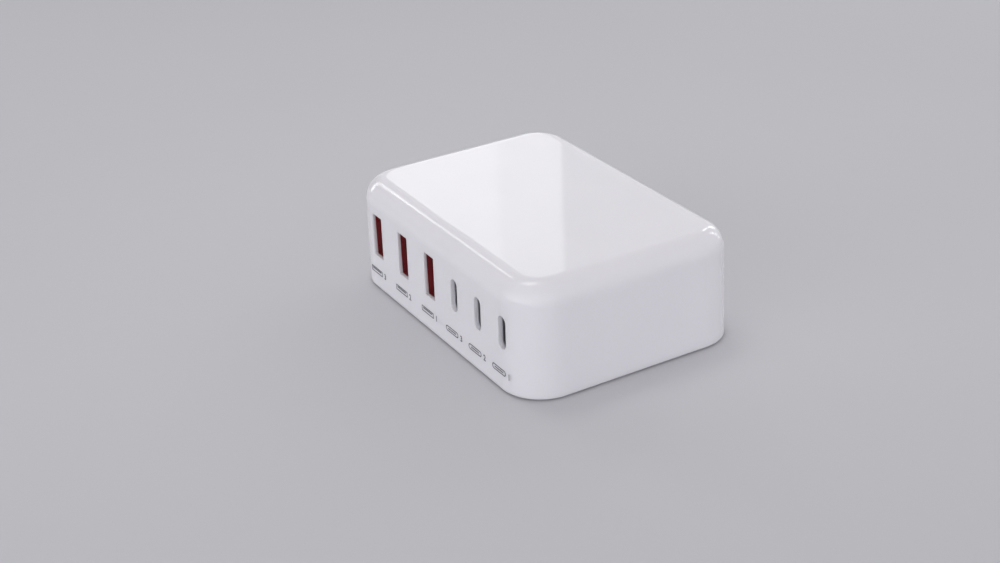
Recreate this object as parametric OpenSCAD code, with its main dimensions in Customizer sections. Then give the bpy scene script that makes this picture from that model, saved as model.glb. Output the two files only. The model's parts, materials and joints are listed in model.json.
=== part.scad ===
// Multi-port USB desktop charger: a one-piece moulded housing with six ports in a row, closed from below
// by an inset cover on four feet. Inside, a port board stands behind the ports and a power board lies flat.
// The ports face -Y, +X is to the right seen from the front, +Z is up and the feet stand on z = 0.

/* [Housing] */
// Width across the sides, measured at the lower rim
body_w = 94; // [92:1:110]
// Depth from the ports' face to the back, measured at the lower rim
body_d = 66; // [66:1:80]
// Height of the housing from its lower rim to its top
shell_h = 30.6; // [30.6:0.2:36]
// Radius of the upright corners
corner_r = 11.5; // [9.5:0.5:13]
// Radius of the rounded edge round the top
edge_r = 6; // [3.5:0.5:7]
// Mould draft of the upright walls, in degrees
draft = 1; // [0:0.25:1.5]
// Thickness of the walls and of the top
wall = 2; // [1.8:0.1:2.2]

/* [Base] */
// Thickness of the inset base cover
cover_t = 2; // [1.8:0.1:2.2]
// Gap all round between the base cover and the housing
cover_gap = 0.15; // [0.1:0.05:0.3]
// How far the feet stand out below the rim
foot_drop = 0.6; // [0.4:0.1:1.5]
// Diameter of a foot
foot_dia = 8.4; // [8:0.2:9]
// Diameter of a cover screw's thread
screw_dia = 1.9; // [1.6:0.1:2.2]

/* [Ports] */
// How far the ports' middles lie above half the housing's height
port_rise = 0.8; // [0.4:0.1:1.6]
// Wall left in front of the sockets and of the inlet
port_skin = 0.9; // [0.6:0.05:1]
// How far the middle of the row of ports lies to the right of the housing's middle
row_shift = 1.875; // [0:0.125:2.5]
// Distance from one USB-A port to the next
a_pitch = 15; // [14:0.1:15.5]
// Width of a USB-A window
a_w = 5.2; // [5.12:0.02:5.4]
// Height of a USB-A window
a_h = 12.5; // [12.5:0.05:12.8]
// Distance from the last USB-A port to the first USB-C port
a_to_c = 13.45; // [12:0.05:14]
// Distance from one USB-C port to the next
c_pitch = 12.1; // [11:0.1:12.2]
// Width of a USB-C window
c_w = 3.3; // [3.3:0.05:3.6]
// Height of a USB-C window
c_h = 9.2; // [9.2:0.05:9.6]

/* [Sockets] */
// Length of a USB-A socket, from the skin to the port board
a_depth = 11; // [10.5:0.1:11.5]
// Wall of a USB-A socket
a_sleeve = 0.45; // [0.4:0.05:0.6]
// Thickness of a USB-A tongue
a_tongue_t = 1.84; // [1.8:0.02:1.9]
// Width of a USB-A tongue
a_tongue_w = 11.1; // [11:0.05:11.2]
// Wall of a USB-C shell
c_shell_t = 0.3; // [0.25:0.05:0.35]
// Thickness of a USB-C tongue
c_tongue_t = 0.7; // [0.65:0.05:0.75]
// Gap between a USB-C shell and its window
c_gap = 0.1; // [0.05:0.05:0.15]
// How far the USB-C shells stand back from the front face
c_recess = 1.1; // [0.9:0.1:1.6]
// How far the USB-A tongues stand back from the mouths of their sockets
a_recess = 1.5; // [0.5:0.1:2]

/* [Inlet] */
// Distance from the housing's left side to the middle of the mains inlet
inlet_side = 25; // [24:0.5:27]
// Distance between the inlet's two pins
pin_pitch = 8.6; // [8.6:0.1:8.8]
// Diameter of an inlet pin
pin_dia = 2.4; // [2.3:0.05:2.45]
// Radius of each lobe of the inlet's mouth
lobe_r = 3.9; // [3.8:0.05:4]
// Depth of the inlet's mouth
mouth_d = 13.5; // [13:0.1:14]

/* [Boards] */
// Thickness of both boards
board_t = 1.6; // [1.4:0.1:1.8]
// Height of the power board's underside above the base cover
board_lift = 3; // [2.8:0.1:3.2]

/* [Power parts] */
// Diameter of a storage capacitor
bulk_dia = 12.4; // [11.5:0.1:12.6]
// Gap between the storage capacitors and the heat spreader above them
bulk_gap = 1.2; // [0.6:0.1:4]
// Diameter of an output capacitor
out_dia = 8; // [7:0.1:8.4]
// Height of an output capacitor
out_h = 11.5; // [10:0.5:14]
// Gap between the choke's winding and the transformer's core
core_gap = 4.75; // [1:0.25:8]
// Gap between the transformer and the capacitors in front of it and behind it
row_gap = 2.5; // [1:0.1:3.5]
// Gap between the choke's winding and the heat spreader above it
choke_gap = 2.85; // [1:0.05:5]
// Thickness of the choke's ring
choke_t = 7; // [5:0.5:8]
// Side of an output inductor
buck_w = 9; // [7:0.5:10]
// Thickness of the heat spreader
spreader_t = 0.8; // [0.5:0.1:1.2]

/* [Hidden] */
$fn = 48;
lap = 0.001;

// Heights, from the floor up
rim_z = foot_drop;
cover_z = rim_z + cover_t;
board_z = cover_z + board_lift;
top_z = board_z + board_t;
ceiling_z = rim_z + shell_h - wall;
port_z = shell_h/2 + port_rise;
port_mid_z = rim_z + port_z;

// The inside of the housing at its rim
in_w = body_w - 2*wall;
in_d = body_d - 2*wall;
in_r = corner_r - wall;

// Planes that the sockets and the inlet seat against, and the port board's two faces
face_y = -body_d/2 + port_z*tan(draft);
seat_y = face_y + port_skin;
port_board_y = seat_y + a_depth;
main_front_y = port_board_y + board_t;
inlet_z = top_z + 5.6;
inlet_seat_y = body_d/2 - (inlet_z - rim_z)*tan(draft) - port_skin;
mouth_y = inlet_seat_y + port_skin - 0.2;

// The row of ports is centred about its shift; a narrower housing holds fewer USB-C ports
row_margin = 26;
c_room = body_w - row_margin - 2*a_pitch - a_to_c;
c_n = max(1, min(3, 1 + floor(c_room/c_pitch)));
row_w = 2*a_pitch + a_to_c + (c_n - 1)*c_pitch;
a_x = row_shift - row_w/2;
c_x = a_x + 2*a_pitch + a_to_c;
a_xs = [for (i = [0:2]) a_x + i*a_pitch];
a_out_w = a_w + 2*a_sleeve;
a_out_h = a_h + 2*a_sleeve;
c_xs = [for (i = [0:c_n - 1]) c_x + i*c_pitch];
port_xs = concat(a_xs, c_xs);

// Feet and screws: each foot covers its screw
foot_x = body_w/2 - 8.2;
foot_y = body_d/2 - 8.8;
foot_r = foot_dia/2;
foot_recess = 0.9;
screw_x = body_w/2 - 6.7;
screw_y = body_d/2 - 7.7;
head_r = screw_dia;
head_t = 1.3;
head_seat_z = rim_z + foot_recess + 0.1 + head_t;
boss_z = head_seat_z + 1.7;
boss_r = 2.6;
screw_l = 8;
boss_out = norm([screw_x - body_w/2 + corner_r, screw_y - body_d/2 + corner_r]) + boss_r;
boss_reach = boss_out - (corner_r - edge_r);
boss_rise = sqrt(edge_r*edge_r - boss_reach*boss_reach) - 0.4;
boss_top_z = min(ceiling_z + 0.3, rim_z + shell_h - edge_r + boss_rise);

// The power board and the posts it stands on
board_w = in_w - 7;
board_back_y = body_d/2 - 5.5;
notch = 5;
post_r = 2.2;
posts = [
  [-board_w/2 + 3, main_front_y + 3], [board_w/2 - 3, main_front_y + 3],
  [-board_w/2 + 7.1, board_back_y - 2.5], [board_w/2 - 7.1, board_back_y - 2.5]
];
rib_ys = [main_front_y + 11, main_front_y + 31];

// Rows on the power board: output capacitors in front, storage capacitors behind, the rest between them.
// The parts next to the sides keep their place there, and the transformer takes the room that is left.
inlet_x = inlet_side - body_w/2;
inlet_half_w = 10.2;
inlet_back_y = mouth_y - mouth_d - 4.5;
room_top_z = ceiling_z - spreader_t;
wire_t = 0.75;
side_gap = 2;
out_r = out_dia/2;
out_space = 1.4;
out_y = main_front_y + out_space + out_r;
bulk_r = bulk_dia/2;
bulk_space = 1;
bulk_y = board_back_y - 0.3 - bulk_r;
bulk_h = room_top_z - bulk_gap - top_z;
trafo_d = bulk_y - bulk_r - out_y - out_r - 2*row_gap;
trafo_y = out_y + out_r + row_gap + trafo_d/2;

// Left side: rectifier, fuse, X capacitor and choke
bridge_t = 3.6;
bridge_at = [-board_w/2 + 11.2, main_front_y + 5 + bridge_t/2];
fuse_r = 3.5;
fuse_at = [inlet_x - inlet_half_w - fuse_r - 0.9, board_back_y - 5 - fuse_r];
xcap_w = 8;
xcap_h = bulk_h - 6;
xcap_front_y = bridge_at[1] + bridge_t/2 + 2.9;
xcap_l = fuse_at[1] - fuse_r - 5.5 - xcap_front_y;
xcap_at = [-board_w/2 + side_gap + xcap_w/2, xcap_front_y + xcap_l/2];
choke_foot = 2.6;
choke_dia = room_top_z - choke_gap - wire_t - choke_foot - top_z;
choke_d = choke_t + 3;
chip_half_d = 2.95;
chip_y = main_front_y + 3.05 + chip_half_d;
choke_play = inlet_back_y - chip_y - chip_half_d - choke_d;
choke_x = xcap_at[0] + xcap_w/2 + 2.75 + choke_dia/2 + wire_t;
choke_at = [choke_x, chip_y + chip_half_d + 0.6*choke_play + choke_d/2];
chip_back_y = choke_at[1] - choke_d/2 - 1.65 - chip_half_d;
chip_right_x = inlet_x + 8;
chip_at = concat(
  [[chip_right_x - 3, chip_y]],
  [for (x = [chip_right_x - 3, chip_right_x - 13.5])
    if (chip_back_y > chip_y + 2*chip_half_d + 0.3) [x, chip_back_y]]
);

// Right side: output inductors, then the heat plate with its switches
buck_out_w = buck_w + 0.6;
buck_space = 1.6;
buck_h = 5.5;
buck_x = board_w/2 - side_gap - buck_out_w/2;
buck_front_y = main_front_y + 5.5;
buck_n = max(1, floor((board_back_y - 4.9 - buck_front_y)/(buck_w + buck_space)));
buck_ys = [for (i = [0:buck_n - 1]) buck_front_y + buck_w/2 + i*(buck_w + buck_space)];
switch_t = 4.4;
plate_t = 1.5;
plate_x = buck_x - buck_out_w/2 - 2.5 - switch_t - plate_t;
plate_y = trafo_y;
plate_l = trafo_d - 0.3;
plate_h = room_top_z - 2.2 - top_z;
switch_n = max(1, floor(plate_l/9.2));
switch_pitch = plate_l/switch_n;
switch_w = switch_pitch - 0.9;
switch_h = plate_h - 4;
switch_hole_z = top_z + switch_h - 3.5;
switch_ys = [for (i = [0:switch_n - 1]) plate_y + (i - (switch_n - 1)/2)*switch_pitch];

// Between them: the transformer and the two rows of capacitors, which hold as many as fit
core_x = choke_at[0] + choke_dia/2 + wire_t + core_gap;
core_w = plate_x - 2 - core_x;
trafo_at = [core_x + core_w/2, trafo_y];
out_right_x = board_w/2 - 13.3;
out_room = out_right_x - chip_right_x - 9.4 + out_space;
out_n = max(1, min(3, floor(out_room/(out_dia + out_space))));
out_xs = [for (i = [1 - out_n:0]) out_right_x - out_r + i*(out_dia + out_space)];
bulk_right_x = board_w/2 - 10.9;
bulk_room = bulk_right_x - inlet_x - inlet_half_w - 0.6 + bulk_space;
bulk_n = max(1, min(3, floor(bulk_room/(bulk_dia + bulk_space))));
bulk_xs = [for (i = [1 - bulk_n:0]) bulk_right_x - bulk_r + i*(bulk_dia + bulk_space)];
ycap_at = [(chip_right_x + out_xs[0] - out_r)/2, main_front_y + 6.4];

// The transformer: its coil takes what the core's window and the row leave
leg = core_w/6;
limb = 0.3*core_w;
coil_gap = 0.05;
flange = min(0.82*((core_w - limb)/2 - leg), 0.215*trafo_d);
core_t = trafo_d - 2*flange - 2*coil_gap;
bobbin_wall = 0.4 + 0.1*flange;
winding_t = 0.68*flange;
tape_t = 0.2;
trafo_foot_w = core_w - 5*leg/4.5;
trafo_pin_x = 0.2*trafo_foot_w;
trafo_pin_y = core_t/2 + 0.63*flange;

// Every wire lead that passes through the power board
lead_at = concat(
  [for (s = [-1, 1]) fuse_at + [0, s*1.8]],
  [for (s = [-1, 1]) xcap_at + [0, s*(xcap_l/2 - 2.2)]],
  [for (sx = [-1, 1], sy = [-1, 1]) choke_at + [sx*(choke_dia/2 - 2.5), sy*(choke_t/2 - 0.1)]],
  [for (i = [-1.5:1:1.5]) bridge_at + [i*3.8, 0]],
  [for (x = bulk_xs, s = [-1, 1]) [x + s*2.5, bulk_y]],
  [for (i = [-2:2], s = [-1, 1]) trafo_at + [i*trafo_pin_x, s*trafo_pin_y]],
  [for (s = [-1, 1]) ycap_at + [s*2.5, 0]],
  [for (y = switch_ys, i = [-1:1]) [plate_x + plate_t + switch_t/2, y + i*2.54]],
  [for (x = out_xs, s = [-1, 1]) [x + s*1.75, out_y]]
);
lead_r = 0.35;
header_x = inlet_x;
header_n = 8;
header_s = 2.54;
port_chip_xs = [for (i = [1:len(port_xs) - 1]) (port_xs[i - 1] + port_xs[i])/2];

// One wall seen end on, u outwards from the axis of an upright corner: drafted face and rounded top edge.
// The edge's circle laps the two faces that it joins by a thousandth, so that the outlines merge cleanly.
module wall_profile(r, edge, h, below) {
  cz = h - edge;
  cu = r - edge/cos(draft) - cz*tan(draft);
  polygon([
    [0, -below], [r + below*tan(draft), -below],
    [cu + edge*cos(draft), cz + edge*sin(draft)], [cu, cz + edge/2], [cu, h], [0, h]
  ]);
  translate([cu, cz]) intersection() {
    circle(edge + lap);
    translate([-edge/4, -edge/4]) square(2*edge);
  }
}

// A drafted block with rounded corners and a rounded top edge, its foot at z = 0
module pillow(w, d, h, r, edge, below = 0) {
  cx = w/2 - r;
  cy = d/2 - r;
  for (q = [0:3]) {
    sx = (q == 0 || q == 3) ? 1 : -1;
    sy = q < 2 ? 1 : -1;
    translate([sx*cx, sy*cy, 0]) rotate(q*90) rotate_extrude(angle = 90) wall_profile(r, edge, h, below);
  }
  for (turn = [0, 180]) rotate(turn) {
    translate([cx, cy, 0]) rotate([90, 0, 0]) linear_extrude(2*cy) wall_profile(r, edge, h, below);
    translate([-cx, cy, 0]) rotate([90, 0, 90]) linear_extrude(2*cx) wall_profile(r, edge, h, below);
  }
  translate([-cx, -cy, -below]) cube([2*cx, 2*cy, h + below]);
}

module rounded_rect(w, d, r) {
  square([w - 2*r, d], center = true);
  square([w, d - 2*r], center = true);
  for (sx = [-1, 1], sy = [-1, 1]) translate([sx*(w/2 - r), sy*(d/2 - r)]) circle(r);
}

// An upright outline run along +Y from y0 for the given length, its middle at x, z
module run_y(x, z, y0, length) {
  translate([x, y0 + length, z]) rotate([90, 0, 0]) linear_extrude(length) children();
}

module obround(w, h) {
  square([w, h - w], center = true);
  for (s = [-1, 1]) translate([0, s*(h - w)/2]) circle(w/2);
}

// The figure-of-eight outline of the inlet, grown by the given amount
module figure_eight(grow) {
  for (s = [-1, 1]) translate([s*(pin_pitch/2), 0]) circle(lobe_r + grow);
  square([pin_pitch, 2*lobe_r*0.72 + 2*grow], center = true);
}

module box(lo, hi) {
  translate(lo) cube(hi - lo);
}

module at_corners(x, y) {
  for (sx = [-1, 1], sy = [-1, 1]) translate([sx*x, sy*y, 0]) children();
}

// A rib on a side wall, seen end on: its outer outline runs along the middle of the wall and its edge
module side_rib(inner, foot) {
  edge = edge_r - wall/2;
  cx = body_w/2 - wall/2 - edge - (shell_h - edge_r)*tan(draft);
  cz = rim_z + shell_h - edge_r;
  polygon(concat(
    [[inner, foot], [cx + edge + (cz - foot)*tan(draft), foot]],
    [for (a = [0:30:90]) [cx + edge*cos(a), cz + edge*sin(a)]],
    [[inner, cz + edge]]
  ));
}

// Ribs along Y from y0: pairs, one on each side wall
module rib_pair(y0, t, inner, foot) {
  for (s = [0, 1]) mirror([s, 0, 0]) translate([0, y0 + t, 0]) rotate([90, 0, 0]) linear_extrude(t)
    side_rib(inner, foot);
}

// The screw bosses, and the ribs that hold the power board down and guide the port board
module inner_stays() {
  at_corners(screw_x, screw_y) translate([0, 0, boss_z]) cylinder(r = boss_r, h = boss_top_z - boss_z);
  for (y = rib_ys) rib_pair(y - 0.7, 1.4, board_w/2 - 1.5, top_z);
  for (y = [port_board_y - 1.45, main_front_y + 0.05]) rib_pair(y, 1.4, in_w/2 - 3.5, cover_z + 0.2);
}

module housing() {
  color("white") difference() {
    union() {
      difference() {
        translate([0, 0, rim_z]) pillow(body_w, body_d, shell_h, corner_r, edge_r);
        translate([0, 0, rim_z]) pillow(in_w, in_d, shell_h - wall, in_r, edge_r - wall, 1);
      }
      inner_stays();
    }
    at_corners(screw_x, screw_y) translate([0, 0, boss_z - 1]) cylinder(r = screw_dia/2 + 0.05, h = 8);
    for (x = a_xs) {
      run_y(x, port_mid_z, -body_d/2 - 1, 4) rounded_rect(a_w, a_h, 0.3);
      run_y(x, port_mid_z, seat_y, 2) square([a_out_w + 0.2, a_out_h + 0.2], center = true);
    }
    for (x = c_xs) run_y(x, port_mid_z, -body_d/2 - 1, 6) obround(c_w, c_h);
    run_y(inlet_x, inlet_z, inlet_seat_y - 1, 4) figure_eight(1.3);
    box([inlet_x - inlet_half_w - 0.3, inlet_seat_y - 3, inlet_z - 5.7],
        [inlet_x + inlet_half_w + 0.3, inlet_seat_y, inlet_z + 5.9]);
  }
}

module base_cover() {
  slack = cover_gap + cover_t*tan(draft);
  color("white") difference() {
    union() {
      translate([0, 0, rim_z]) linear_extrude(cover_t)
        rounded_rect(in_w - 2*slack, in_d - 2*slack, in_r - slack);
      at_corners(screw_x, screw_y) translate([0, 0, rim_z]) cylinder(r = 3, h = boss_z - rim_z);
      for (p = posts) translate([p[0], p[1], rim_z]) {
        cylinder(r = post_r, h = board_z - rim_z);
        cylinder(r = 0.9, h = top_z - rim_z + 0.8);
      }
    }
    at_corners(foot_x, foot_y) translate([0, 0, rim_z - 1]) cylinder(r = foot_r + 0.1, h = 1 + foot_recess);
    at_corners(screw_x, screw_y) {
      translate([0, 0, rim_z - 1]) cylinder(r = head_r + 0.15, h = head_seat_z - rim_z + 1);
      translate([0, 0, rim_z]) cylinder(r = screw_dia/2 + 0.15, h = boss_z);
    }
  }
}

module cover_screws() {
  color("silver") at_corners(screw_x, screw_y) difference() {
    union() {
      translate([0, 0, head_seat_z - head_t]) cylinder(r = head_r, h = head_t);
      translate([0, 0, head_seat_z]) cylinder(r = screw_dia/2, h = screw_l - 1);
      translate([0, 0, head_seat_z + screw_l - 1]) cylinder(r1 = screw_dia/2, r2 = 0.2, h = 1);
    }
    for (turn = [0, 90]) rotate(turn)
      translate([-1.1, -0.2, head_seat_z - head_t - 1]) cube([2.2, 0.4, 1.7]);
  }
}

module feet() {
  color("gray") at_corners(foot_x, foot_y) rotate_extrude()
    polygon([
      [0, 0], [foot_r - 0.4, 0], [foot_r, 0.4],
      [foot_r, rim_z + foot_recess], [0, rim_z + foot_recess]
    ]);
}

// A USB-A socket: sleeve, closed back and tongue are one moulding; contacts lie in the tongue's right face
a_cavity = a_depth - 1.6;
a_tongue_x = -a_w/2 + 0.7;
a_contact_t = 0.25;
a_contact_zs = [-3.5, -1, 1, 3.5];

module a_contact_run(y0, y1, side, face) {
  x1 = a_tongue_x + a_tongue_t;
  for (z = a_contact_zs)
    box([x1 - a_contact_t - face, y0, z - 0.5 - side], [x1 + face, y1, z + 0.5 + side]);
}

module usb_a_sockets() {
  color("darkred") for (x = a_xs) translate([x, 0, port_mid_z]) difference() {
    union() {
      difference() {
        run_y(0, 0, seat_y, a_depth) square([a_out_w, a_out_h], center = true);
        run_y(0, 0, seat_y - 1, a_cavity + 1) square([a_w, a_h], center = true);
      }
      box([a_tongue_x, seat_y + a_recess, -a_tongue_w/2],
          [a_tongue_x + a_tongue_t, seat_y + a_depth, a_tongue_w/2]);
    }
    a_contact_run(seat_y + a_recess + 0.6, port_board_y + 1, 0, 0);
  }
}

module usb_a_contacts() {
  color("gold") for (x = a_xs) translate([x, 0, port_mid_z])
    a_contact_run(seat_y + a_recess + 0.6, main_front_y + 0.6, 0, 0);
}

// A USB-C socket: a drawn steel shell, an insert with the tongue, and twelve contacts on each side of it
c_shell_w = c_w - 2*c_gap;
c_shell_h = c_h - 2*c_gap;
c_bore_w = c_shell_w - 2*c_shell_t;
c_bore_h = c_shell_h - 2*c_shell_t;
c_leg_x = c_shell_w/2 - c_shell_t/2;
c_front_y = face_y + c_recess;
c_back_y = c_front_y + 6.2;
c_legs = [-2.2, 2.2];

module usb_c_shells() {
  color("silver") for (x = c_xs) translate([x, 0, port_mid_z]) {
    difference() {
      run_y(0, 0, c_front_y, port_board_y - c_front_y) obround(c_shell_w, c_shell_h);
      run_y(0, 0, c_front_y - 1, port_board_y - c_front_y + 2) obround(c_bore_w, c_bore_h);
    }
    for (z = c_legs, s = [-1, 1])
      box([s*c_leg_x - c_shell_t/2, port_board_y - 0.5, z - 0.45],
          [s*c_leg_x + c_shell_t/2, main_front_y + 0.4, z + 0.45]);
  }
}

module usb_c_inserts() {
  color("dimgray") for (x = c_xs) translate([x, 0, port_mid_z]) {
    run_y(0, 0, c_back_y, port_board_y - c_back_y) obround(c_bore_w, c_bore_h);
    box([-c_tongue_t/2, c_front_y + 0.8, -3.3], [c_tongue_t/2, c_back_y + 0.5, 3.3]);
  }
}

module usb_c_contacts() {
  color("gold") for (x = c_xs, s = [-1, 1], i = [-5.5:1:5.5])
    translate([x, 0, port_mid_z + i*0.5])
      box([min(s*c_tongue_t/2, s*(c_tongue_t/2 + 0.06)), c_front_y + 1.4, -0.13],
          [max(s*c_tongue_t/2, s*(c_tongue_t/2 + 0.06)), c_back_y, 0.13]);
}

module port_board() {
  w = in_w/2 - 1.2;
  h = ceiling_z - 0.3 - cover_z;
  cut = edge_r - wall - 1;
  color("green") difference() {
    run_y(0, cover_z, port_board_y, board_t)
      polygon([[-w, 0], [w, 0], [w, h - cut], [w - cut, h], [cut - w, h], [-w, h - cut]]);
    for (x = a_xs) translate([x, 0, port_mid_z])
      a_contact_run(port_board_y - 1, main_front_y + 1, 0.1, 0.1);
    for (x = c_xs, z = c_legs, s = [-1, 1])
      translate([x + s*c_leg_x, 0, port_mid_z + z])
        box([-c_shell_t/2 - 0.1, port_board_y - 1, -0.55], [c_shell_t/2 + 0.1, main_front_y + 1, 0.55]);
    for (i = [0:header_n - 1])
      translate([header_x + (i - (header_n - 1)/2)*header_s, port_board_y - 1, top_z + 1.25])
        rotate([-90, 0, 0]) cylinder(r = 0.5, h = board_t + 2, $fn = 12);
  }
}

module port_chips() {
  color("black") for (x = port_chip_xs)
    box([x - 2.2, main_front_y, port_mid_z - 2.2], [x + 2.2, main_front_y + 0.9, port_mid_z + 2.2]);
}

module board_header() {
  w = header_n*header_s;
  color("black") difference() {
    box([header_x - w/2, main_front_y, top_z], [header_x + w/2, main_front_y + 2.5, top_z + 2.5]);
    header_pin_set();
  }
}

module header_pin_set() {
  for (i = [0:header_n - 1]) translate([header_x + (i - (header_n - 1)/2)*header_s, 0, 0]) {
    box([-0.32, port_board_y + 0.1, top_z + 0.93], [0.32, main_front_y + 1.57, top_z + 1.57]);
    box([-0.32, main_front_y + 0.93, board_z - 1.2], [0.32, main_front_y + 1.57, top_z + 1.57]);
  }
}

module header_pins() {
  color("gold") header_pin_set();
}

module main_board() {
  color("green") difference() {
    box([-board_w/2, main_front_y, board_z], [board_w/2, board_back_y, top_z]);
    for (s = [-1, 1])
      translate([s*board_w/2 - notch, board_back_y - notch - 1, board_z - 1])
        cube([2*notch, 2*notch, board_t + 2]);
    for (p = posts) translate([p[0], p[1], board_z - 1]) cylinder(r = 1.05, h = board_t + 2);
    for (p = lead_at) translate([p[0], p[1], board_z - 1])
      cylinder(r = lead_r + 0.1, h = board_t + 2, $fn = 12);
    for (i = [0:header_n - 1])
      translate([header_x + (i - (header_n - 1)/2)*header_s, main_front_y + 1.25, board_z - 1])
        cylinder(r = 0.5, h = board_t + 2, $fn = 12);
    for (s = [-1, 1]) translate([inlet_x + s*pin_pitch/2, inlet_back_y, board_z - 1])
      box([-0.9, -0.95, 0], [0.9, 0.05, board_t + 2]);
  }
}

// The mains inlet: a block on the power board, its flange seated behind the back wall, its mouth near flush
module inlet_body() {
  color("white") difference() {
    union() {
      box([inlet_x - inlet_half_w, inlet_seat_y - 2, top_z],
          [inlet_x + inlet_half_w, inlet_seat_y, inlet_z + 5.6]);
      box([inlet_x - 9.4, inlet_back_y, top_z], [inlet_x + 9.4, inlet_seat_y - 1, inlet_z + 5.2]);
      run_y(inlet_x, inlet_z, inlet_seat_y - 1, mouth_y - inlet_seat_y + 1) figure_eight(1.2);
    }
    run_y(inlet_x, inlet_z, mouth_y - mouth_d, mouth_d + 1) figure_eight(0);
    for (s = [-1, 1]) run_y(inlet_x + s*pin_pitch/2, inlet_z, inlet_back_y - 1, 8) circle(pin_dia/2 + 0.02);
  }
}

module inlet_pins() {
  color("silver") for (s = [-1, 1]) translate([inlet_x + s*pin_pitch/2, 0, 0]) {
    run_y(0, inlet_z, inlet_back_y, mouth_y - 3.6 - inlet_back_y) circle(pin_dia/2);
    translate([0, mouth_y - 3.6, inlet_z]) rotate([-90, 0, 0])
      cylinder(r1 = pin_dia/2, r2 = pin_dia/2 - 0.6, h = 0.6);
    box([-0.8, inlet_back_y - 0.8, board_z - 1.2], [0.8, inlet_back_y, inlet_z + 0.8]);
  }
}

module fuse() {
  color("saddlebrown") translate([fuse_at[0], fuse_at[1], top_z]) {
    cylinder(r = fuse_r, h = 7.4);
    cylinder(r = fuse_r - 0.6, h = 8);
  }
}

module x_capacitor() {
  color("gold") translate([xcap_at[0], xcap_at[1], top_z])
    linear_extrude(xcap_h) rounded_rect(xcap_w, xcap_l, 0.6);
}

// The common-mode choke: a ring core standing on edge in a base, with two flat-wire windings
choke_r = choke_dia/2;
choke_bore = 0.4667*choke_r;
ring_w = choke_r - choke_bore;
choke_mid_z = top_z + choke_r + choke_foot;

module choke_axis() {
  translate([choke_at[0], choke_at[1], choke_mid_z]) rotate([90, 0, 0]) children();
}

module choke_core() {
  color("dimgray") choke_axis() difference() {
    cylinder(r = choke_r, h = choke_t, center = true);
    cylinder(r = choke_bore, h = choke_t + 1, center = true);
  }
}

module choke_base() {
  color("black") difference() {
    box([choke_at[0] - choke_r + 0.5, choke_at[1] - choke_d/2, top_z],
        [choke_at[0] + choke_r - 0.5, choke_at[1] + choke_d/2, top_z + choke_foot + 1.6]);
    choke_axis() cylinder(r = choke_r, h = choke_t, center = true);
    box([choke_at[0] - choke_r, choke_at[1] - choke_d/5, top_z - 1],
        [choke_at[0] + choke_r, choke_at[1] + choke_d/5, top_z + 1]);
    choke_winding(1, 0.1);
    choke_winding(-1, 0.1);
  }
}

module choke_winding(side, slack) {
  choke_axis() for (i = [-3:3]) rotate(i*17 + (side > 0 ? 0 : 180)) difference() {
    translate([choke_bore - wire_t - slack, -0.38 - slack, -choke_t/2 - wire_t - slack])
      cube([ring_w + 2*wire_t + 2*slack, 0.76 + 2*slack, choke_t + 2*wire_t + 2*slack]);
    if (slack == 0) translate([choke_bore - 0.05, -1, -choke_t/2 - 0.05])
      cube([ring_w + 0.1, 2, choke_t + 0.1]);
  }
}

module choke_winding_line() {
  color("peru") choke_winding(1, 0);
}

module choke_winding_neutral() {
  color("peru") choke_winding(-1, 0);
}

module bridge_rectifier() {
  color("black") difference() {
    box([bridge_at[0] - 7.6, bridge_at[1] - bridge_t/2, top_z],
        [bridge_at[0] + 7.6, bridge_at[1] + bridge_t/2, top_z + 10.5]);
    translate([bridge_at[0] - 7.6, bridge_at[1], top_z + 10.5]) rotate([0, 45, 0])
      cube([3, 6, 3], center = true);
    translate([bridge_at[0] + 3, bridge_at[1], top_z + 7]) rotate([90, 0, 0])
      cylinder(r = 1.5, h = 6, center = true);
  }
}

// An upright can: a sleeve with a crimp near its foot and a round recess in its top for the metal end
module can(r, h) {
  rotate_extrude() polygon([
    [0, 0], [r - 0.3, 0], [r, 0.3], [r, 1.8], [r - 0.35, 2.2], [r, 2.6], [r, h - 0.5], [r - 0.5, h],
    [r - 1, h], [r - 1, h - 0.5], [0, h - 0.5]
  ]);
}

module can_top(r, h) {
  difference() {
    translate([0, 0, h - 0.5]) cylinder(r = r - 1, h = 0.4);
    for (turn = [0, 90]) rotate(turn) translate([-r*0.55, -0.15, h - 0.2]) cube([r*1.1, 0.3, 0.3]);
  }
}

module bulk_capacitors() {
  color("black") for (x = bulk_xs) translate([x, bulk_y, top_z]) can(bulk_r, bulk_h);
}

module bulk_capacitor_tops() {
  color("silver") for (x = bulk_xs) translate([x, bulk_y, top_z]) can_top(bulk_r, bulk_h);
}

module output_capacitors() {
  color("royalblue") for (x = out_xs) translate([x, out_y, top_z]) can(out_r, out_h);
}

module output_capacitor_tops() {
  color("silver") for (x = out_xs) translate([x, out_y, top_z]) can_top(out_r, out_h);
}

// The transformer: a paired E core whose middle limb stands in a wound bobbin
core_z = top_z + 1;
core_top_z = ceiling_z - spreader_t - 1;
yoke = 4;
bobbin_z = core_z + yoke;
bobbin_top_z = core_top_z - yoke;

module ring_z(w, d, t, z0, z1) {
  difference() {
    box([-w/2 - t, -d/2 - t, z0], [w/2 + t, d/2 + t, z1]);
    box([-w/2, -d/2, z0 - 1], [w/2, d/2, z1 + 1]);
  }
}

module transformer_core() {
  color("dimgray") translate([trafo_at[0], trafo_at[1], 0]) difference() {
    box([-core_w/2, -core_t/2, core_z], [core_w/2, core_t/2, core_top_z]);
    for (s = [-1, 1])
      box([min(s*limb/2, s*(core_w/2 - leg)), -core_t, bobbin_z],
          [max(s*limb/2, s*(core_w/2 - leg)), core_t, bobbin_top_z]);
  }
}

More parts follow.
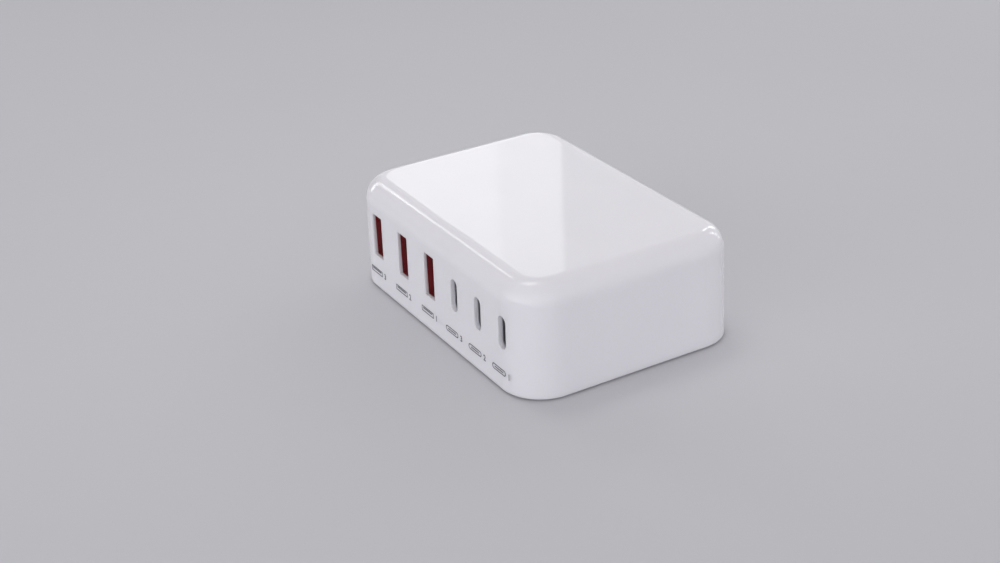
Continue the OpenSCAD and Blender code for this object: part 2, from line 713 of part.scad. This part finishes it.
module transformer_bobbin() {
  inner_w = limb + 2*coil_gap;
  inner_d = core_t + 2*coil_gap;
  color("black") translate([trafo_at[0], trafo_at[1], 0]) {
    ring_z(inner_w, inner_d, bobbin_wall, bobbin_z, bobbin_top_z);
    for (z = [bobbin_z, bobbin_top_z - 0.8]) ring_z(inner_w, inner_d, flange, z, z + 0.8);
    for (s = [-1, 1])
      box([-trafo_foot_w/2, min(s*(core_t/2 + 0.15*flange), s*(inner_d/2 + flange)), top_z],
          [trafo_foot_w/2, max(s*(core_t/2 + 0.15*flange), s*(inner_d/2 + flange)), bobbin_z + 0.4]);
  }
}

module transformer_winding() {
  inside = 2*coil_gap + 2*bobbin_wall;
  color("peru") translate([trafo_at[0], trafo_at[1], 0])
    ring_z(limb + inside, core_t + inside, winding_t, bobbin_z + 0.8, bobbin_top_z - 0.8);
}

module transformer_tape() {
  inside = 2*coil_gap + 2*bobbin_wall + 2*winding_t;
  color("yellow") translate([trafo_at[0], trafo_at[1], 0])
    ring_z(limb + inside, core_t + inside, tape_t, bobbin_z + 0.9, bobbin_top_z - 0.9);
}

module y_capacitor() {
  color("steelblue") translate([ycap_at[0], ycap_at[1], top_z]) {
    translate([0, 0, 5]) rotate([90, 0, 0]) cylinder(r = 4.2, h = 3.4, center = true);
    box([-3.2, -1, 0], [3.2, 1, 3]);
  }
}

module heat_plate() {
  color("silver") difference() {
    box([plate_x, plate_y - plate_l/2, top_z],
        [plate_x + plate_t, plate_y + plate_l/2, top_z + plate_h]);
    for (y = switch_ys) translate([plate_x - 1, y, switch_hole_z])
      rotate([0, 90, 0]) cylinder(r = 1.3, h = 4);
  }
}

module power_switches() {
  color("black") difference() {
    for (y = switch_ys) translate([plate_x + plate_t, y, top_z])
      box([0, -switch_w/2, 0], [switch_t, switch_w/2, switch_h]);
    for (y = switch_ys) translate([plate_x, y, switch_hole_z]) rotate([0, 90, 0]) cylinder(r = 1.55, h = 9);
    for (y = switch_ys) translate([plate_x + plate_t, y, top_z])
      box([switch_t - 2, -switch_w, switch_h - 7], [switch_t + 1, switch_w, switch_h + 1]);
  }
}

module plate_screws() {
  color("silver") for (y = switch_ys)
    translate([plate_x, y, switch_hole_z]) rotate([0, 90, 0]) difference() {
    union() {
      cylinder(r = 1.25, h = plate_t + 2.4);
      translate([0, 0, plate_t + 2.4]) cylinder(r = 2.6, h = 1.6);
    }
    translate([-2, -0.25, plate_t + 3.2]) cube([4, 0.5, 2]);
  }
}

module buck_inductors() {
  color("gray") for (y = buck_ys) translate([buck_x, y, top_z]) {
    linear_extrude(buck_h) rounded_rect(buck_w, buck_w, 1.2);
    linear_extrude(buck_h - 1) square([buck_out_w, 2.6], center = true);
  }
}

module control_chips() {
  color("black") for (p = chip_at) translate([p[0], p[1], top_z]) box([-3, -1.95, 0.2], [3, 1.95, 1.6]);
}

module chip_legs() {
  color("silver") for (p = chip_at, i = [-2:2], s = [-1, 1]) translate([p[0] + i*1.1, p[1], top_z]) {
    box([-0.2, min(s*1.95, s*2.95), 0], [0.2, max(s*1.95, s*2.95), 0.2]);
    box([-0.2, min(s*1.95, s*2.15), 0], [0.2, max(s*1.95, s*2.15), 0.9]);
  }
}

module lead_wires() {
  color("silver") for (p = lead_at) translate([p[0], p[1], board_z - 1.2])
    cylinder(r = lead_r, h = board_t + 1.2, $fn = 12);
}

module insulation_sheet() {
  color("ivory") difference() {
    box([-board_w/2 + 6, main_front_y + 1, cover_z], [board_w/2 - 6, board_back_y - 1, cover_z + 0.4]);
    for (p = posts) translate([p[0], p[1], cover_z - 1]) cylinder(r = post_r + 0.2, h = 3);
  }
}

module thermal_pad() {
  color("lightblue") translate([trafo_at[0], trafo_at[1], core_top_z])
    box([1 - core_w/2, -core_t/2, 0], [core_w/2 - 1, core_t/2, 1]);
}

module heat_spreader() {
  color("silver")
    box([-in_w/2 + 12, main_front_y + 4, ceiling_z - spreader_t],
        [in_w/2 - 12, board_back_y - 4, ceiling_z]);
}

housing();
base_cover();
cover_screws();
feet();
usb_a_sockets();
usb_a_contacts();
usb_c_shells();
usb_c_inserts();
usb_c_contacts();
port_board();
port_chips();
board_header();
header_pins();
main_board();
inlet_body();
inlet_pins();
fuse();
x_capacitor();
choke_core();
choke_base();
choke_winding_line();
choke_winding_neutral();
bridge_rectifier();
bulk_capacitors();
bulk_capacitor_tops();
transformer_core();
transformer_bobbin();
transformer_winding();
transformer_tape();
y_capacitor();
heat_plate();
power_switches();
plate_screws();
output_capacitors();
output_capacitor_tops();
buck_inductors();
control_chips();
chip_legs();
lead_wires();
insulation_sheet();
thermal_pad();
heat_spreader();
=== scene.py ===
"""Looks of the multi-port USB desktop charger: a material on every CAD node, port marks, floor, light and camera."""

import json
import math

import bpy
from mathutils import Matrix, Vector


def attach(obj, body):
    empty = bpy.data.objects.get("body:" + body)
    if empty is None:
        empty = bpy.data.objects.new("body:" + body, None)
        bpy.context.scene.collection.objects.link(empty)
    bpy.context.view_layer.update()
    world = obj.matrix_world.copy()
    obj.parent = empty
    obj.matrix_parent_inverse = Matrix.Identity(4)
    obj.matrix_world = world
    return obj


MM = 0.001

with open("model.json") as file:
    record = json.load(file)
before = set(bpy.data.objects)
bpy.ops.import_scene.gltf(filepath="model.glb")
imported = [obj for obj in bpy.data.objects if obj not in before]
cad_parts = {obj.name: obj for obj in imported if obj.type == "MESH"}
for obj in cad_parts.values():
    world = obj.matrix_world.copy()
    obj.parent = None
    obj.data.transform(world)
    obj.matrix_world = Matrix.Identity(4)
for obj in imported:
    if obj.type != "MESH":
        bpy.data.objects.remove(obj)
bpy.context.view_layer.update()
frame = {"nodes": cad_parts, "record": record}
nodes = frame["nodes"]
scene = bpy.context.scene

# Sizes of the CAD part that the camera and the port marks refer to (mm, degrees).
BODY_DEPTH = 66.0
FOOT_DROP = 0.6
DRAFT = math.radians(1.0)

# ---------------------------------------------------------------- camera
# Fitted to the photo's outline and windows: angles in degrees, focal length in pixels of a frame 1000 pixels wide.
FRAME_PX = 1000.0
SENSOR_MM = 36.0
AZIMUTH, ELEVATION, ROLL = 60.79, 26.84, -2.76
FOCAL_PX = 1670.64
AIM = Vector((0.0, 32.5 - BODY_DEPTH / 2, 15.0 + FOOT_DROP)) * MM
SIDE, RISE, DISTANCE = -10.12 * MM, -8.02 * MM, 453.37 * MM
CLIP_NEAR, CLIP_FAR = 0.01, 20.0


def camera_axes():
    """The camera's right and up directions, and the one that points back from the object to the camera."""
    a, e, q = (math.radians(v) for v in (AZIMUTH, ELEVATION, ROLL))
    back = Vector((math.sin(a) * math.cos(e), -math.cos(a) * math.cos(e), math.sin(e)))
    right = Vector((math.cos(a), math.sin(a), 0.0))
    up = back.cross(right)
    return math.cos(q) * right + math.sin(q) * up, -math.sin(q) * right + math.cos(q) * up, back


def make_camera():
    right, up, back = camera_axes()
    data = bpy.data.cameras.new("camera")
    data.sensor_width = SENSOR_MM
    data.sensor_fit = "HORIZONTAL"
    data.lens = FOCAL_PX / FRAME_PX * data.sensor_width
    data.clip_start, data.clip_end = CLIP_NEAR, CLIP_FAR
    cam = bpy.data.objects.new("camera", data)
    scene.collection.objects.link(cam)
    place = AIM + SIDE * right + RISE * up + DISTANCE * back
    turn = Matrix((right, up, back)).transposed()
    cam.matrix_world = Matrix.Translation(place) @ turn.to_4x4()
    scene.camera = cam


make_camera()

# ---------------------------------------------------------------- materials
# Noise values lie mostly between these limits; a mottle uses the narrower ones, so its patches have clearer edges.
NOISE_RANGE = (0.3, 0.7)
MOTTLE_RANGE = (0.35, 0.65)
PLASTIC_IOR = 1.5
COAT_ROUGHNESS = 0.08


class Finish:
    """One procedural material: a Principled shader with noise in its colour, roughness and surface."""

    def __init__(self, name, color, rough, metal=0.0, coat=0.0):
        self.mat = bpy.data.materials.new(name)
        self.mat.use_nodes = True
        self.tree = self.mat.node_tree
        self.shader = self.tree.nodes["Principled BSDF"]
        self.color, self.rough = color, rough
        self.shader.inputs["Base Color"].default_value = (*color, 1.0)
        self.shader.inputs["Roughness"].default_value = rough
        self.shader.inputs["Metallic"].default_value = metal
        self.shader.inputs["IOR"].default_value = PLASTIC_IOR
        if coat:
            self.shader.inputs["Coat Weight"].default_value = coat
            self.shader.inputs["Coat Roughness"].default_value = COAT_ROUGHNESS
        self.coords = self.node("ShaderNodeTexCoord").outputs["Object"]
        self.height = None

    def translucent(self, weight, depth_mm, radius):
        """Light that scatters a little way into the plastic; the radius is given for red, green and blue."""
        self.shader.inputs["Subsurface Weight"].default_value = weight
        self.shader.inputs["Subsurface Radius"].default_value = radius
        self.shader.inputs["Subsurface Scale"].default_value = depth_mm * MM

    def node(self, kind, **values):
        n = self.tree.nodes.new(kind)
        for key, value in values.items():
            setattr(n, key, value)
        return n

    def link(self, a, b):
        self.tree.links.new(a, b)

    def noise(self, scale, detail, stretch=None):
        """Noise in the object's own coordinates, in cycles per metre, stretched along an axis where asked."""
        n = self.node("ShaderNodeTexNoise")
        n.inputs["Scale"].default_value = scale
        n.inputs["Detail"].default_value = detail
        if stretch:
            m = self.node("ShaderNodeMapping")
            m.inputs["Scale"].default_value = stretch
            self.link(self.coords, m.inputs["Vector"])
            self.link(m.outputs["Vector"], n.inputs["Vector"])
        else:
            self.link(self.coords, n.inputs["Vector"])
        return n.outputs["Fac"]

    def ranged(self, value, low, high, source_range):
        r = self.node("ShaderNodeMapRange")
        for key, v in zip(("From Min", "From Max", "To Min", "To Max"), (*source_range, low, high)):
            r.inputs[key].default_value = v
        self.link(value, r.inputs["Value"])
        return r.outputs["Result"]

    def vary_rough(self, scale, spread, stretch=None):
        noise = self.noise(scale, 3.0, stretch)
        value = self.ranged(noise, self.rough - spread, self.rough + spread, NOISE_RANGE)
        self.link(value, self.shader.inputs["Roughness"])

    def tint(self, value, other):
        """Mixes the colour towards another one where the value is high."""
        m = self.node("ShaderNodeMix", data_type="RGBA")
        source = self.shader.inputs["Base Color"].links
        if source:
            self.link(source[0].from_socket, m.inputs["A"])
        else:
            m.inputs["A"].default_value = (*self.color, 1.0)
        m.inputs["B"].default_value = (*other, 1.0)
        self.link(value, m.inputs["Factor"])
        self.link(m.outputs["Result"], self.shader.inputs["Base Color"])

    def mottle(self, scale, other):
        self.tint(self.ranged(self.noise(scale, 3.0), 0.0, 1.0, MOTTLE_RANGE), other)

    def bump(self, value, depth_mm):
        b = self.node("ShaderNodeBump")
        b.inputs["Strength"].default_value = 1.0
        b.inputs["Distance"].default_value = depth_mm * MM
        self.link(value, b.inputs["Height"])
        if self.height is not None:
            self.link(self.height, b.inputs["Normal"])
        self.height = b.outputs["Normal"]
        self.link(self.height, self.shader.inputs["Normal"])

    def grain(self, scale, depth_mm, detail=2.0, stretch=None):
        self.bump(self.noise(scale, detail, stretch), depth_mm)


def shade(color, gain):
    return tuple(gain * c for c in color)


def white_shell():
    """Glossy white plastic: a slow mould waviness and a very fine grain, with a little light inside it."""
    f = Finish("white_shell", (0.86, 0.846, 0.88), 0.045)
    f.vary_rough(90.0, 0.01)
    f.mottle(45.0, (0.845, 0.833, 0.867))
    f.translucent(0.6, 2.0, (1.0, 0.95, 0.92))
    f.grain(380.0, 0.004)
    f.grain(5200.0, 0.0006, 1.0)
    return f.mat


def white_base():
    f = Finish("white_base", (0.80, 0.795, 0.82), 0.5)
    f.vary_rough(240.0, 0.05)
    f.mottle(90.0, (0.77, 0.768, 0.79))
    f.grain(6500.0, 0.012, 3.0)
    return f.mat


def inlet_plastic():
    f = Finish("inlet_plastic", (0.77, 0.765, 0.79), 0.38)
    f.vary_rough(400.0, 0.05)
    f.mottle(160.0, (0.73, 0.728, 0.75))
    f.grain(5000.0, 0.008, 3.0)
    return f.mat


def red_plastic():
    f = Finish("red_plastic", (0.25, 0.030, 0.034), 0.32)
    f.vary_rough(500.0, 0.06)
    f.mottle(260.0, (0.20, 0.022, 0.026))
    f.grain(4000.0, 0.006)
    return f.mat


def drawn_metal(name, color, rough, stretch):
    """Metal with fine lines along the axis that is stretched least."""
    f = Finish(name, color, rough, metal=1.0)
    f.vary_rough(900.0, 0.08, stretch)
    f.mottle(350.0, shade(color, 0.88))
    f.grain(1800.0, 0.003, 3.0, stretch)
    return f.mat


def plain_plastic(name, color, rough, darker=0.8, scale=300.0):
    f = Finish(name, color, rough)
    f.vary_rough(scale, 0.06)
    f.mottle(scale * 0.6, shade(color, darker))
    f.grain(5000.0, 0.008, 3.0)
    return f.mat


def ring_marks(name, color, rough, pitch_per_m, depth_mm, metal=0.0):
    """Wound wire, tape or a shrunk sleeve: fine parallel ridges over a lacquered colour."""
    f = Finish(name, color, rough, metal=metal, coat=0.4)
    w = f.node("ShaderNodeTexWave", wave_type="BANDS", bands_direction="Z", wave_profile="SIN")
    w.inputs["Scale"].default_value = pitch_per_m
    w.inputs["Distortion"].default_value = 0.6
    f.link(f.coords, w.inputs["Vector"])
    f.bump(w.outputs["Fac"], depth_mm)
    f.tint(f.ranged(w.outputs["Fac"], 0.0, 0.45, (0.0, 0.5)), shade(color, 0.6))
    f.mottle(500.0, shade(color, 0.85))
    return f.mat


def circuit_board():
    """Solder mask over copper tracks: the tracks show as paler, slightly raised bands."""
    f = Finish("board_green", (0.012, 0.11, 0.045), 0.28, coat=0.5)
    v = f.node("ShaderNodeTexVoronoi", feature="DISTANCE_TO_EDGE", distance="MANHATTAN")
    v.inputs["Scale"].default_value = 260.0
    f.link(f.coords, v.inputs["Vector"])
    track = f.ranged(v.outputs["Distance"], 1.0, 0.0, (0.06, 0.09))
    f.tint(track, (0.03, 0.21, 0.08))
    f.bump(track, 0.03)
    f.vary_rough(600.0, 0.06)
    return f.mat


def rubber(name, color):
    f = Finish(name, color, 0.72)
    f.vary_rough(400.0, 0.08)
    f.mottle(500.0, shade(color, 1.25))
    f.grain(7000.0, 0.02, 4.0)
    return f.mat


# One material for each material slot of the record.
FINISHES = {
    "white_shell": white_shell(),
    "white_base": white_base(),
    "inlet_plastic": inlet_plastic(),
    "red_plastic": red_plastic(),
    "steel": drawn_metal("steel", (0.62, 0.62, 0.63), 0.34, (1.0, 1.0, 6.0)),
    "socket_steel": drawn_metal("socket_steel", (0.62, 0.63, 0.65), 0.34, (1.0, 8.0, 1.0)),
    "contact_gold": drawn_metal("contact_gold", (0.86, 0.66, 0.30), 0.25, (1.0, 6.0, 1.0)),
    "aluminium": drawn_metal("aluminium", (0.80, 0.81, 0.82), 0.36, (6.0, 1.0, 1.0)),
    "foot_rubber": rubber("foot_rubber", (0.36, 0.36, 0.37)),
    "pad_grey": rubber("pad_grey", (0.30, 0.36, 0.42)),
    "dark_insert": plain_plastic("dark_insert", (0.12, 0.12, 0.125), 0.42),
    "black_plastic": plain_plastic("black_plastic", (0.030, 0.030, 0.032), 0.45),
    "fuse_brown": plain_plastic("fuse_brown", (0.14, 0.055, 0.030), 0.35),
    "capacitor_box": plain_plastic("capacitor_box", (0.70, 0.52, 0.09), 0.40),
    "ferrite": plain_plastic("ferrite", (0.075, 0.075, 0.080), 0.55, 0.7, 700.0),
    "insulation": plain_plastic("insulation", (0.72, 0.70, 0.62), 0.45),
    "capacitor_sleeve": ring_marks("capacitor_sleeve", (0.025, 0.030, 0.050), 0.25, 60.0, 0.004),
    "capacitor_blue": ring_marks("capacitor_blue", (0.035, 0.12, 0.36), 0.28, 80.0, 0.004),
    "yellow_tape": ring_marks("yellow_tape", (0.82, 0.60, 0.05), 0.30, 200.0, 0.010),
    "copper": ring_marks("copper", (0.78, 0.36, 0.18), 0.30, 420.0, 0.06, metal=1.0),
    "board_green": circuit_board(),
}

for entry in frame["record"]["subparts"]:
    mesh = nodes[entry["node"]].data
    mesh.materials.clear()
    mesh.materials.append(FINISHES[entry["material_slot"]])

# ---------------------------------------------------------------- printed marks under the ports
# All in mm. A mark is an outline of its port with the port's number to the right of it.
PORT_ROWS = (("usb_a", (-31.95, -16.95, -1.95)), ("usb_c", (11.5, 23.6, 35.7)))
MARK_HEIGHT = 1.65
MARK_Z = 4.9 + FOOT_DROP
MARK_LIFT = 0.015
MARK_SHIFT = -0.6
ICON_WIDTH, ICON_LINE, ICON_SHIFT = 6.6, 0.3, -1.3
USB_A_RADIUS = 0.12
USB_A_TONGUE = {"w": ICON_WIDTH - 1.5, "h": 0.40, "r": 0.05, "y": 0.20}
USB_C_RADIUS = MARK_HEIGHT / 2 - 0.01
USB_C_TONGUE = {"w": ICON_WIDTH - 2.4, "h": 0.32, "r": 0.1, "y": 0.0}
SMALLEST_RADIUS = 0.02
DIGIT_SHIFT = 3.0
DIGIT_HEIGHT_PER_SIZE = 0.70
DIGIT_BOLDNESS = 0.06
RING_STEPS, PLATE_STEPS = 8, 4


def ink():
    f = Finish("mark_ink", (0.075, 0.075, 0.09), 0.45)
    f.vary_rough(800.0, 0.05)
    f.mottle(2500.0, (0.13, 0.13, 0.15))
    return f.mat


def rounded_outline(w, h, r, steps):
    points = []
    x, y = w / 2 - r, h / 2 - r
    for cx, cy, start in ((x, y, 0), (-x, y, 90), (-x, -y, 180), (x, -y, 270)):
        for k in range(steps + 1):
            a = math.radians(start + 90 * k / steps)
            points.append((cx + r * math.cos(a), cy + r * math.sin(a)))
    return points


def add_ring(verts, faces, w, h, r, line):
    outer = rounded_outline(w, h, r, RING_STEPS)
    inner = rounded_outline(w - 2 * line, h - 2 * line, max(r - line, SMALLEST_RADIUS), RING_STEPS)
    base, n = len(verts), len(outer)
    verts += outer + inner
    faces += [(base + k, base + (k + 1) % n, base + n + (k + 1) % n, base + n + k) for k in range(n)]


def add_plate(verts, faces, w, h, r, y):
    base = len(verts)
    outline = rounded_outline(w, h, r, PLATE_STEPS)
    verts += [(px, py + y) for px, py in outline]
    faces.append(tuple(range(base, base + len(outline))))


def digit_mesh(text, height):
    """The points and faces of a number, flat and with its foot on the x axis."""
    curve = bpy.data.curves.new("digit", "FONT")
    curve.body = text
    curve.size = height / DIGIT_HEIGHT_PER_SIZE
    curve.align_x, curve.align_y = "LEFT", "BOTTOM_BASELINE"
    curve.resolution_u = 6
    curve.offset = DIGIT_BOLDNESS
    holder = bpy.data.objects.new("digit", curve)
    scene.collection.objects.link(holder)
    bpy.context.view_layer.update()
    mesh = bpy.data.meshes.new_from_object(holder)
    bpy.data.objects.remove(holder)
    flat = [(v.co.x, v.co.y) for v in mesh.vertices]
    polys = [tuple(p.vertices) for p in mesh.polygons]
    bpy.data.meshes.remove(mesh)
    return flat, polys


def port_mark(kind, number, x, material):
    """A small outline of the port with its number beside it, printed on the drafted front face."""
    verts, faces = [], []
    radius, tongue = (USB_A_RADIUS, USB_A_TONGUE) if kind == "usb_a" else (USB_C_RADIUS, USB_C_TONGUE)
    add_ring(verts, faces, ICON_WIDTH, MARK_HEIGHT, radius, ICON_LINE)
    add_plate(verts, faces, **tongue)
    verts = [(px + ICON_SHIFT, py) for px, py in verts]
    digit, polys = digit_mesh(str(number), MARK_HEIGHT)
    base = len(verts)
    verts += [(px + DIGIT_SHIFT, py - MARK_HEIGHT / 2) for px, py in digit]
    faces += [tuple(base + k for k in p) for p in polys]

    along, up = Vector((1, 0, 0)), Vector((0, math.sin(DRAFT), math.cos(DRAFT)))
    out = along.cross(up)
    face_y = -BODY_DEPTH / 2 + (MARK_Z - FOOT_DROP) * math.tan(DRAFT)
    foot = Vector((x + MARK_SHIFT, face_y, MARK_Z)) + out * MARK_LIFT
    mesh = bpy.data.meshes.new(f"{kind}_mark_{number}")
    mesh.from_pydata([(foot + along * px + up * py) * MM for px, py in verts], [], faces)
    mesh.materials.append(material)
    obj = bpy.data.objects.new(f"{kind}_mark_{number}", mesh)
    scene.collection.objects.link(obj)
    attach(obj, "root")


mark_ink = ink()
for kind, xs in PORT_ROWS:
    for k, port_x in enumerate(xs):
        port_mark(kind, len(xs) - k, port_x, mark_ink)

# ---------------------------------------------------------------- floor and light
FLOOR_SIZE = 6.0

# The room: light levels low down and high up, and the heights (z of the direction) between which one turns into the
# other, with a slightly warm tone above and a bluish one below.
ROOM_LOW, ROOM_HIGH = 0.858, 0.485
ROOM_CHANGE = (0.50, 0.85)
TONE_HIGH, TONE_LOW = (1.0, 0.990, 0.990, 1.0), (0.966, 0.966, 1.007, 1.0)

# Lobes change the low light round one direction: direction, cosines where it starts and where it is full, gain.
ROOM_LOBES = (
    ((-0.87, 0.49, 0.0), 0.1, 0.9, 0.12),
    ((0.60, -0.80, 0.0), 0.1, 0.9, 0.22),
    ((0.05, -0.94, -0.34), 0.45, 1.0, 1.25),
    ((-0.842, -0.50, 0.20), 0.55, 0.95, -0.78),
)

WINDOW_RUN = (-0.488, -0.873)
WINDOW_FOOT = 0.14


def make_floor():
    f = Finish("floor", (0.631, 0.628, 0.653), 0.85)
    f.vary_rough(6.0, 0.05)
    f.mottle(3.0, (0.621, 0.618, 0.643))
    bpy.ops.mesh.primitive_plane_add(size=FLOOR_SIZE, location=(0, 0, 0))
    floor = bpy.context.object
    floor.name = "floor"
    floor.data.materials.append(f.mat)


def world_light():
    """A studio room that is brighter low down, with lobes that add or take away light."""
    world = bpy.data.worlds.new("world")
    scene.world = world
    world.use_nodes = True
    tree = world.node_tree
    coords = tree.nodes.new("ShaderNodeTexCoord").outputs["Generated"]

    def calc(op, a, b):
        n = tree.nodes.new("ShaderNodeVectorMath" if op == "DOT_PRODUCT" else "ShaderNodeMath")
        n.operation = op
        for socket, value in zip(n.inputs, (a, b)):
            if isinstance(value, bpy.types.NodeSocket):
                tree.links.new(value, socket)
            else:
                socket.default_value = value
        return n.outputs["Value"]

    def smooth(value, start, end, from_value, to_value):
        n = tree.nodes.new("ShaderNodeMapRange")
        n.interpolation_type = "SMOOTHSTEP"
        for key, v in zip(("From Min", "From Max", "To Min", "To Max"), (start, end, from_value, to_value)):
            n.inputs[key].default_value = v
        tree.links.new(value, n.inputs["Value"])
        return n.outputs["Result"]

    height = calc("DOT_PRODUCT", coords, (0.0, 0.0, 1.0))
    below = smooth(height, *ROOM_CHANGE, 1.0, 0.0)
    level = smooth(height, *ROOM_CHANGE, ROOM_LOW, ROOM_HIGH)
    for direction, edge, core, gain in ROOM_LOBES:
        facing = smooth(calc("DOT_PRODUCT", coords, direction), edge, core, 0.0, gain)
        level = calc("ADD", level, calc("MULTIPLY", facing, below))
    tone = tree.nodes.new("ShaderNodeMix")
    tone.data_type = "RGBA"
    tone.inputs["A"].default_value = TONE_HIGH
    tone.inputs["B"].default_value = TONE_LOW
    tree.links.new(below, tone.inputs["Factor"])
    back = tree.nodes["Background"]
    tree.links.new(tone.outputs["Result"], back.inputs["Color"])
    tree.links.new(level, back.inputs["Strength"])


def strip_light(name, start, end, width, power, spread=180.0, target=(0.0, 0.0, 0.03)):
    """A long lamp that runs from start to end and faces the target as squarely as its length allows."""
    a, b = Vector(start), Vector(end)
    run = (b - a).normalized()
    out = (a + b) / 2 - Vector(target)
    out = (out - out.dot(run) * run).normalized()
    data = bpy.data.lights.new(name, "AREA")
    data.shape = "RECTANGLE"
    data.size, data.size_y = (b - a).length, width
    data.energy = power
    data.spread = math.radians(spread)
    obj = bpy.data.objects.new(name, data)
    scene.collection.objects.link(obj)
    turn = Matrix((run, out.cross(run), out)).transposed().to_4x4()
    obj.matrix_world = Matrix.Translation((a + b) / 2) @ turn


def upright_panel(name, edge, width, top, power):
    """A lamp panel that stands upright and runs along the window, from one upright edge given in plan."""
    run = Vector((*WINDOW_RUN, 0.0)).normalized()
    middle = Vector((*edge, 0.0)) + run * width / 2
    start, end = (middle + Vector((0, 0, z)) for z in (WINDOW_FOOT, top))
    strip_light(name, start, end, width, power, target=(start + end) / 2 + Vector((-run.y, run.x, 0.0)))


make_floor()
world_light()
# The line of light along the front top edge, and its end round the far corner.
strip_light("key_strip", (-0.65, -0.058, 0.44), (-0.612, -0.056, 0.565), 0.10, 0.092)
strip_light("key_tail", (-0.612, -0.03, 0.415), (-0.635, -0.29, 0.115), 0.12, 0.055, 60.0)
# The window that the top reflects, in two tones.
upright_panel("window_pane", (-0.5540, 0.3504), 0.044, 0.39, 0.0300)
upright_panel("window_panel", (-0.5755, 0.3120), 0.084, 0.385, 0.0765)
# The two glints on the rear corner.
strip_light("rear_strip_1", (-0.40, 0.571, 0.537), (-0.32, 0.627, 0.065), 0.02, 0.22)
strip_light("rear_strip_2", (-0.161, 0.697, 0.449), (-0.116, 0.709, 0.03), 0.02, 0.22)
# A weak wide lamp over the floor in front of the body.
strip_light("pool_light", (-0.37, -0.10, 0.72), (-0.13, -0.10, 0.80), 0.48, 0.043, 32.0, (0.05, -0.08, 0.0))

scene.view_settings.view_transform = "Standard"
